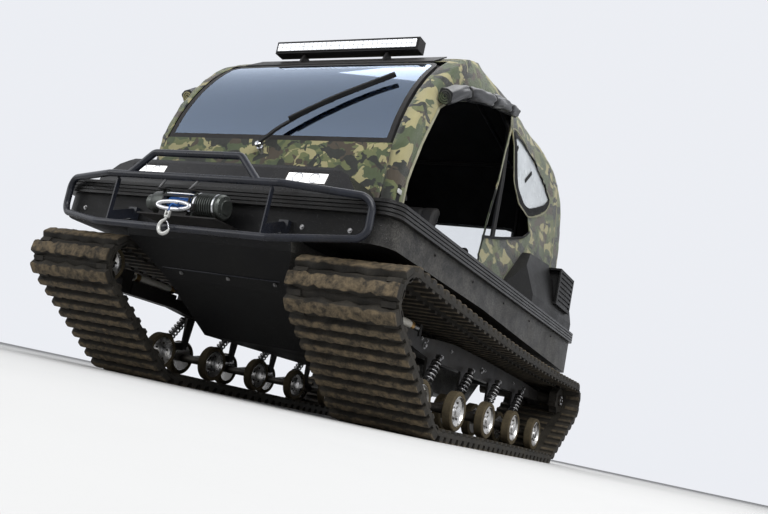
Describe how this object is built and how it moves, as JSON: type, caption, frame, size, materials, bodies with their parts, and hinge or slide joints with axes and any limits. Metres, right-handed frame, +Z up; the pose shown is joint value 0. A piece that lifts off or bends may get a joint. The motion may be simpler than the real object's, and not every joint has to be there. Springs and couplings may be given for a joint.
{
  "type": "tracked all-terrain vehicle",
  "caption": "Small tracked all-terrain vehicle with a plastic hull, wide rubber tracks, a camouflage soft cab, tube guard, winch and roof light bar.",
  "frame": {"origin": "on the ground under the middle of the vehicle", "axes": "+X forward, +Y to the vehicle's left, +Z up"},
  "size_m": [3.026, 1.934, 1.956],
  "materials": {
    "track_rubber": "dusty black rubber",
    "wheel_metal": "cast discs with rubber rims",
    "frame_paint": "satin black paint",
    "sprocket_steel": "worn steel",
    "shock_steel": "steel springs and rods",
    "tensioner_paint": "white paint",
    "canopy_fabric": "woodland camouflage outside, black inside",
    "pod_plastic": "dusty black plastic",
    "hull_plastic": "grained black plastic",
    "rim_plastic": "ribbed black moulding",
    "deck_plastic": "grained black plastic",
    "scuttle_camouflage": "woodland camouflage",
    "hood_plastic": "smooth black plastic",
    "lamp_lens": "clear lens over white reflector",
    "rear_lens": "red lens",
    "guard_paint": "satin black paint",
    "winch_metal": "dark grey cast housing",
    "polished_metal": "polished",
    "rope_fibre": "blue fibre rope",
    "hook_paint": "pale grey paint",
    "trim_black": "black",
    "windscreen_glass": "clear",
    "wiper_black": "satin black",
    "window_film": "translucent film",
    "seat_vinyl": "black vinyl",
    "engine_metal": "plain block"
  },
  "bodies": {
    "vehicle": {"track_left": "track_rubber", "track_right": "track_rubber", "road_wheels_left": "wheel_metal", "road_wheels_right": "wheel_metal", "side_beam_left": "frame_paint", "side_beam_right": "frame_paint", "idlers": "wheel_metal", "sprockets": "sprocket_steel", "suspension_arms": "frame_paint", "shocks": "shock_steel", "tensioners": "tensioner_paint", "door_rolls": "canopy_fabric", "intake_pods": "pod_plastic", "hull": "hull_plastic", "rim_moulding": "rim_plastic", "deck": "deck_plastic", "scuttle": "scuttle_camouflage", "hood_hinges": "frame_paint", "front_guard": "guard_paint", "winch_mount": "frame_paint", "winch": "winch_metal", "winch_drum": "winch_metal", "fairlead": "polished_metal", "winch_rope": "rope_fibre", "winch_hook": "hook_paint", "windscreen_frame": "trim_black", "windscreen_glass": "windscreen_glass", "screen_vent": "trim_black", "wiper_spindle": "polished_metal", "light_bar": "trim_black", "light_bar_lens": "lamp_lens", "light_bar_mount": "trim_black", "canopy": "canopy_fabric", "canopy_windows": "window_film", "canopy_frame": "frame_paint", "front_seats": "seat_vinyl", "rear_bench": "seat_vinyl", "seat_boxes": "deck_plastic", "dashboard": "deck_plastic", "steering_column": "frame_paint", "engine_block": "engine_metal", "rear_lamps": "rear_lens", "tow_hitch": "frame_paint"},
    "hood": {"hood": "hood_plastic", "head_lamps": "lamp_lens"},
    "steering": {"handlebar": "trim_black"},
    "wiper_arm": {"wiper": "wiper_black"}
  },
  "joints": [
    {"name": "hood_lid", "type": "hinge", "parent": "vehicle", "child": "hood", "pos_m": [1.078, 0, 0.958], "axis": [0, -1, 0], "range_deg": [0, 60]},
    {"name": "steering_turn", "type": "hinge", "parent": "vehicle", "child": "steering", "pos_m": [0.67, 0.3, 1.018], "axis": [-0.9216, 0, 0.3881], "range_deg": [-40, 40]},
    {"name": "wiper_sweep", "type": "hinge", "parent": "vehicle", "child": "wiper_arm", "pos_m": [1.05932, -0.03, 1.12429], "axis": [0.852, 0, 0.5236], "range_deg": [-32, 28]}
  ]
}
